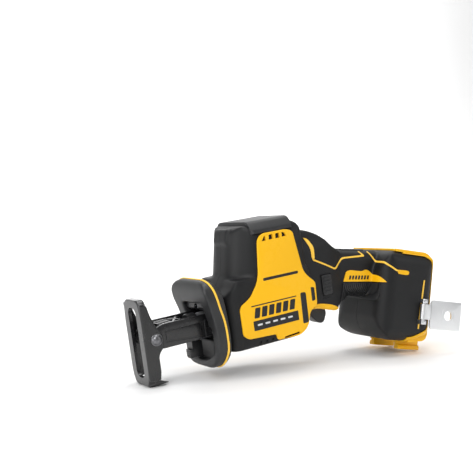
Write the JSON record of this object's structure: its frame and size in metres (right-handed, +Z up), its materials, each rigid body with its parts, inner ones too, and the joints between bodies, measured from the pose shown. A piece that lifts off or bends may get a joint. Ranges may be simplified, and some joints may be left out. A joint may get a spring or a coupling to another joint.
{
  "type": "reciprocating saw",
  "caption": "Compact cordless reciprocating saw: upright motor head, pivoting shoe on a channel bracket, hand guard, inline handle and battery foot with a swinging hang plate.",
  "frame": {"origin": "where the blade axis crosses the shoe's work face", "axes": "+X rearward along the blade axis from shoe to foot, +Y to the tool's right, +Z up through the head"},
  "size_m": [0.3344, 0.083, 0.1583],
  "materials": {
    "housing_nylon": "matte",
    "cover_yellow": "satin",
    "piping_yellow": "matte",
    "grip_rubber": "matte",
    "black_plastic": "matte",
    "lamp_lens": "clear",
    "shoe_steel": "satin black",
    "bright_steel": "zinc",
    "motor_steel": "laminated",
    "gear_alloy": "cast",
    "bush_bronze": "sintered",
    "coil_copper": "enamelled"
  },
  "bodies": {
    "tool": {"housing_left": "housing_nylon", "housing_right": "housing_nylon", "side_cover_left": "cover_yellow", "side_cover_right": "cover_yellow", "top_cap": "grip_rubber", "guard_boot": "grip_rubber", "guard_piping": "piping_yellow", "shoe_bracket": "shoe_steel", "nose_trim": "black_plastic", "led_lens": "lamp_lens", "grip_top": "grip_rubber", "grip_ribbed": "grip_rubber", "badge_left": "cover_yellow", "badge_right": "cover_yellow", "foot_trim": "cover_yellow", "battery_rails": "cover_yellow", "terminal_block": "black_plastic", "terminals": "bush_bronze", "control_module": "black_plastic", "switch_body": "black_plastic", "gear_case": "gear_alloy", "gear_case_cover": "gear_alloy", "front_bush": "bush_bronze", "rear_bush": "bush_bronze", "spindle_seal": "grip_rubber", "stator_core": "motor_steel", "stator_coils": "coil_copper", "lower_bearing": "bright_steel", "upper_bearing": "bright_steel", "bearing_holder": "black_plastic", "housing_screw_1": "bright_steel", "housing_screw_2": "bright_steel", "housing_screw_3": "bright_steel", "housing_screw_4": "bright_steel", "housing_screw_5": "bright_steel", "housing_screw_6": "bright_steel", "bracket_screw_left": "bright_steel", "bracket_screw_right": "bright_steel", "case_screw_1": "bright_steel", "case_screw_2": "bright_steel", "case_screw_3": "bright_steel", "case_screw_4": "bright_steel", "trigger_pin": "bright_steel", "hook_pin": "bright_steel"},
    "shoe": {"shoe": "shoe_steel", "shoe_rivet_left": "bright_steel", "shoe_rivet_right": "bright_steel"},
    "spindle": {"spindle": "bright_steel", "blade_clamp": "shoe_steel", "clamp_pin": "bright_steel"},
    "crank": {"crank_gear": "bright_steel", "crank_roller": "bush_bronze"},
    "rotor": {"rotor_shaft": "bright_steel", "rotor_core": "motor_steel", "fan": "black_plastic"},
    "release_lever": {"release_lever": "black_plastic"},
    "trigger": {"trigger": "black_plastic", "trigger_spring": "bright_steel"},
    "lock_button": {"lock_button": "grip_rubber"},
    "hang_hook": {"hang_hook": "bright_steel"}
  },
  "joints": [
    {"name": "crank_spin", "type": "hinge", "parent": "tool", "child": "crank", "pos_m": [0.104, 0, 0.016], "axis": [0, 0, 1], "range_deg": [-90, 90]},
    {"name": "spindle_slide", "type": "slide", "parent": "tool", "child": "spindle", "axis": [1, 0, 0], "range_m": [-0.0081, 0.0081]},
    {"name": "rotor_spin", "type": "hinge", "parent": "tool", "child": "rotor", "pos_m": [0.13, 0, 0.041], "axis": [0, 0, 1], "range_deg": [-400, 400]},
    {"name": "shoe_pivot", "type": "hinge", "parent": "tool", "child": "shoe", "pos_m": [0.0114, 0, 0], "axis": [0, 1, 0], "range_deg": [-12, 25]},
    {"name": "lever_turn", "type": "hinge", "parent": "tool", "child": "release_lever", "pos_m": [0.053, 0, 0], "axis": [1, 0, 0], "range_deg": [0, 30], "stiffness_Nm_per_rad": 0.15, "springref_deg": -17.19},
    {"name": "trigger_pull", "type": "hinge", "parent": "tool", "child": "trigger", "pos_m": [0.178, 0, 0], "axis": [0, -1, 0], "range_deg": [0, 9], "stiffness_Nm_per_rad": 0.8, "springref_deg": -8.59},
    {"name": "lock_slide", "type": "slide", "parent": "tool", "child": "lock_button", "axis": [0, 1, 0], "range_m": [-0.003, 0.003]},
    {"name": "hook_swing", "type": "hinge", "parent": "tool", "child": "hang_hook", "pos_m": [0.28281, -0.0418, -0.03356], "axis": [-0.2756, 0, -0.9613], "range_deg": [0, 90]}
  ],
  "couplings": [
    {"joint": "spindle_slide", "follows": "crank_spin", "m_per_rad": -0.005093},
    {"joint": "rotor_spin", "follows": "crank_spin", "ratio": -4.4167}
  ]
}
